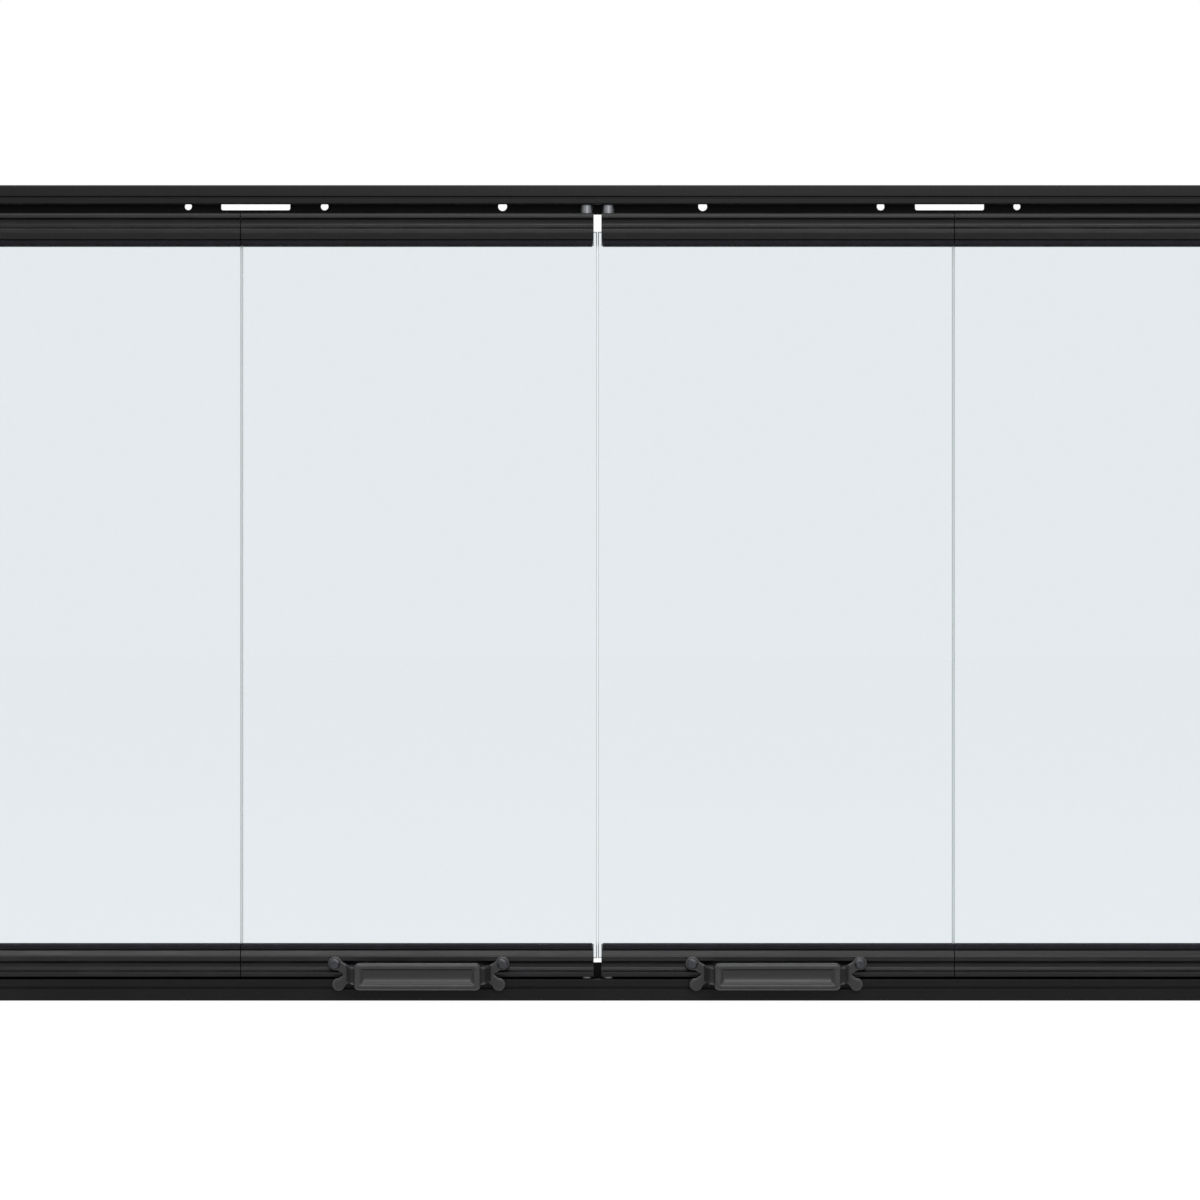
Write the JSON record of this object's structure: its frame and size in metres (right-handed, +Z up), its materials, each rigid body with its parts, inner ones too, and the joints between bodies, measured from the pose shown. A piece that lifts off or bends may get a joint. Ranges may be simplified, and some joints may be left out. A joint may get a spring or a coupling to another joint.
{
  "type": "folding fireplace glass door",
  "caption": "Folding glass door for a fireplace opening: clear panes in black rails fold in pairs between a top and a bottom track.",
  "frame": {"origin": "underside of the bottom track, in the middle of its length and under the guide groove", "axes": "+X along the door to the right as seen from the room, +Y away from the room, +Z up"},
  "size_m": [0.924, 0.0481, 0.523],
  "materials": {
    "black_paint": "satin black paint on rolled steel",
    "black_anodised": "black anodised extrusion, satin",
    "clear_glass": "clear tempered glass, seamed edges",
    "silicone": "black extruded silicone",
    "cast_black": "black powder coat on die-cast zinc",
    "zinc_plate": "bright zinc plate",
    "spring_steel": "drawn spring steel",
    "nylon": "natural nylon, moulded",
    "black_zinc": "black zinc plate"
  },
  "bodies": {
    "frame": {"bottom_track": "black_paint", "top_track": "black_paint", "bottom_pivot_block_left": "nylon", "bottom_pivot_block_right": "nylon", "top_pivot_block_left": "nylon", "top_pivot_block_right": "nylon"},
    "left_outer_panel": {"left_outer_glass": "clear_glass", "left_outer_top_rail": "black_anodised", "left_outer_bottom_rail": "black_anodised", "left_outer_top_gasket": "silicone", "left_outer_bottom_gasket": "silicone", "left_top_pivot_housing": "nylon", "left_pivot_spring": "spring_steel", "left_bottom_pivot": "zinc_plate", "left_top_hinge_outer_leaf": "black_zinc", "left_bottom_hinge_outer_leaf": "black_zinc", "left_top_hinge_pin": "black_zinc", "left_bottom_hinge_pin": "black_zinc"},
    "left_plunger": {"left_pivot_plunger": "zinc_plate"},
    "left_lead_panel": {"left_top_hinge_lead_leaf": "black_zinc", "left_bottom_hinge_lead_leaf": "black_zinc", "left_lead_glass": "clear_glass", "left_lead_top_rail": "black_anodised", "left_lead_bottom_rail": "black_anodised", "left_lead_top_gasket": "silicone", "left_lead_bottom_gasket": "silicone", "left_top_guide": "zinc_plate", "left_bottom_guide": "zinc_plate", "left_handle": "cast_black", "left_handle_inner_screw": "black_zinc", "left_handle_outer_screw": "black_zinc"},
    "left_top_guide_roller": {"left_top_roller": "nylon"},
    "left_bottom_guide_roller": {"left_bottom_roller": "nylon"},
    "right_outer_panel": {"right_outer_glass": "clear_glass", "right_outer_top_rail": "black_anodised", "right_outer_bottom_rail": "black_anodised", "right_outer_top_gasket": "silicone", "right_outer_bottom_gasket": "silicone", "right_top_pivot_housing": "nylon", "right_pivot_spring": "spring_steel", "right_bottom_pivot": "zinc_plate", "right_top_hinge_outer_leaf": "black_zinc", "right_bottom_hinge_outer_leaf": "black_zinc", "right_top_hinge_pin": "black_zinc", "right_bottom_hinge_pin": "black_zinc"},
    "right_plunger": {"right_pivot_plunger": "zinc_plate"},
    "right_lead_panel": {"right_top_hinge_lead_leaf": "black_zinc", "right_bottom_hinge_lead_leaf": "black_zinc", "right_lead_glass": "clear_glass", "right_lead_top_rail": "black_anodised", "right_lead_bottom_rail": "black_anodised", "right_lead_top_gasket": "silicone", "right_lead_bottom_gasket": "silicone", "right_top_guide": "zinc_plate", "right_bottom_guide": "zinc_plate", "right_handle": "cast_black", "right_handle_inner_screw": "black_zinc", "right_handle_outer_screw": "black_zinc"},
    "right_top_guide_roller": {"right_top_roller": "nylon"},
    "right_bottom_guide_roller": {"right_bottom_roller": "nylon"}
  },
  "joints": [
    {"name": "left_pivot_turn", "type": "hinge", "parent": "frame", "child": "left_outer_panel", "pos_m": [-0.4503, 0, 0.0056], "axis": [0, 0, -1], "range_deg": [0, 80]},
    {"name": "left_fold_turn", "type": "hinge", "parent": "left_outer_panel", "child": "left_lead_panel", "pos_m": [-0.2286, 0.0111, 0.0286], "axis": [0, 0, 1], "range_deg": [0, 160]},
    {"name": "left_plunger_slide", "type": "slide", "parent": "left_outer_panel", "child": "left_plunger", "axis": [0, 0, 1], "range_m": [-0.004, 0], "stiffness_N_per_m": 300, "springref_m": 0.006, "deforming": ["left_pivot_spring"]},
    {"name": "left_top_roller_spin", "type": "hinge", "parent": "left_lead_panel", "child": "left_top_guide_roller", "pos_m": [-0.0069, 0, 0.515], "axis": [0, 0, 1], "continuous": true},
    {"name": "left_bottom_roller_spin", "type": "hinge", "parent": "left_lead_panel", "child": "left_bottom_guide_roller", "pos_m": [-0.0069, 0, 0.0078], "axis": [0, 0, 1], "continuous": true},
    {"name": "right_pivot_turn", "type": "hinge", "parent": "frame", "child": "right_outer_panel", "pos_m": [0.4503, 0, 0.0056], "axis": [0, 0, 1], "range_deg": [0, 80]},
    {"name": "right_fold_turn", "type": "hinge", "parent": "right_outer_panel", "child": "right_lead_panel", "pos_m": [0.2286, 0.0111, 0.0286], "axis": [0, 0, -1], "range_deg": [0, 160]},
    {"name": "right_plunger_slide", "type": "slide", "parent": "right_outer_panel", "child": "right_plunger", "axis": [0, 0, 1], "range_m": [-0.004, 0], "stiffness_N_per_m": 300, "springref_m": 0.006, "deforming": ["right_pivot_spring"]},
    {"name": "right_top_roller_spin", "type": "hinge", "parent": "right_lead_panel", "child": "right_top_guide_roller", "pos_m": [0.0069, 0, 0.515], "axis": [0, 0, 1], "continuous": true},
    {"name": "right_bottom_roller_spin", "type": "hinge", "parent": "right_lead_panel", "child": "right_bottom_guide_roller", "pos_m": [0.0069, 0, 0.0078], "axis": [0, 0, 1], "continuous": true}
  ],
  "couplings": [
    {"joint": "left_fold_turn", "follows": "left_pivot_turn", "ratio": 2},
    {"joint": "right_fold_turn", "follows": "right_pivot_turn", "ratio": 2}
  ]
}
